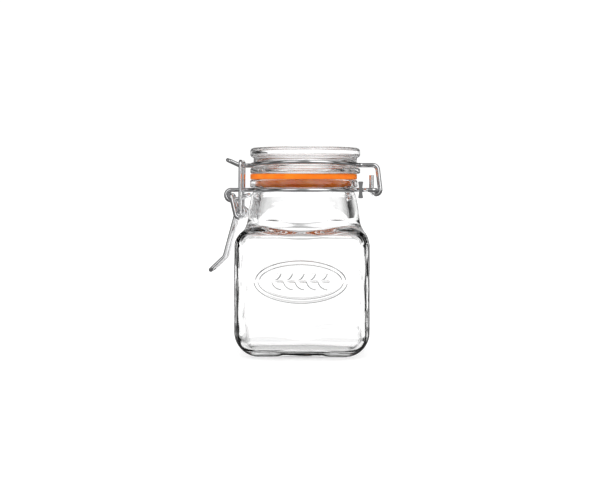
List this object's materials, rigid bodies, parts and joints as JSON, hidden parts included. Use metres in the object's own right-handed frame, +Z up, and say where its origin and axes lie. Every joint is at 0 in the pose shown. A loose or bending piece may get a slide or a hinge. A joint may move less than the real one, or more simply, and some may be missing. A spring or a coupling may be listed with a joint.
{
  "type": "bail clamp jar",
  "caption": "Small square glass jar with a round neck, a hinged glass lid with a rubber ring, and an over-centre wire bail clamp.",
  "frame": {"origin": "on the jar's vertical axis, in the plane that the base stands on", "axes": "+Z up, +X towards the lid's hinge, -X towards the latch, -Y is the face with the ornament"},
  "size_m": [0.066, 0.0508, 0.078],
  "materials": {
    "jar_glass": "clear, fire-polished",
    "lid_glass": "clear, fire-polished",
    "seal_rubber": "matt moulded rubber",
    "wire": "bright drawn stainless wire"
  },
  "bodies": {
    "jar": {"glass_jar": "jar_glass", "neck_wire": "wire", "neck_tie": "wire", "rubber_seal": "seal_rubber"},
    "lid": {"glass_lid": "lid_glass", "lid_wire": "wire"},
    "lever": {"locking_lever": "wire"},
    "link": {"bail_link": "wire"}
  },
  "joints": [
    {"name": "lid_hinge", "type": "hinge", "parent": "jar", "child": "lid", "pos_m": [0.0275, 0, 0.062], "axis": [0, 1, 0], "range_deg": [0, 200]},
    {"name": "lever_pivot", "type": "hinge", "parent": "jar", "child": "lever", "pos_m": [-0.0274, 0, 0.06], "axis": [0, 1, 0], "range_deg": [0, 104]},
    {"name": "link_pivot", "type": "hinge", "parent": "lever", "child": "link", "pos_m": [-0.0238, 0, 0.0535], "axis": [0, -1, 0], "range_deg": [0, 148.2]}
  ],
  "couplings": [
    {"joint": "lever_pivot", "follows": "lid_hinge", "ratio": 0.5195},
    {"joint": "link_pivot", "follows": "lid_hinge", "ratio": 0.7379}
  ]
}
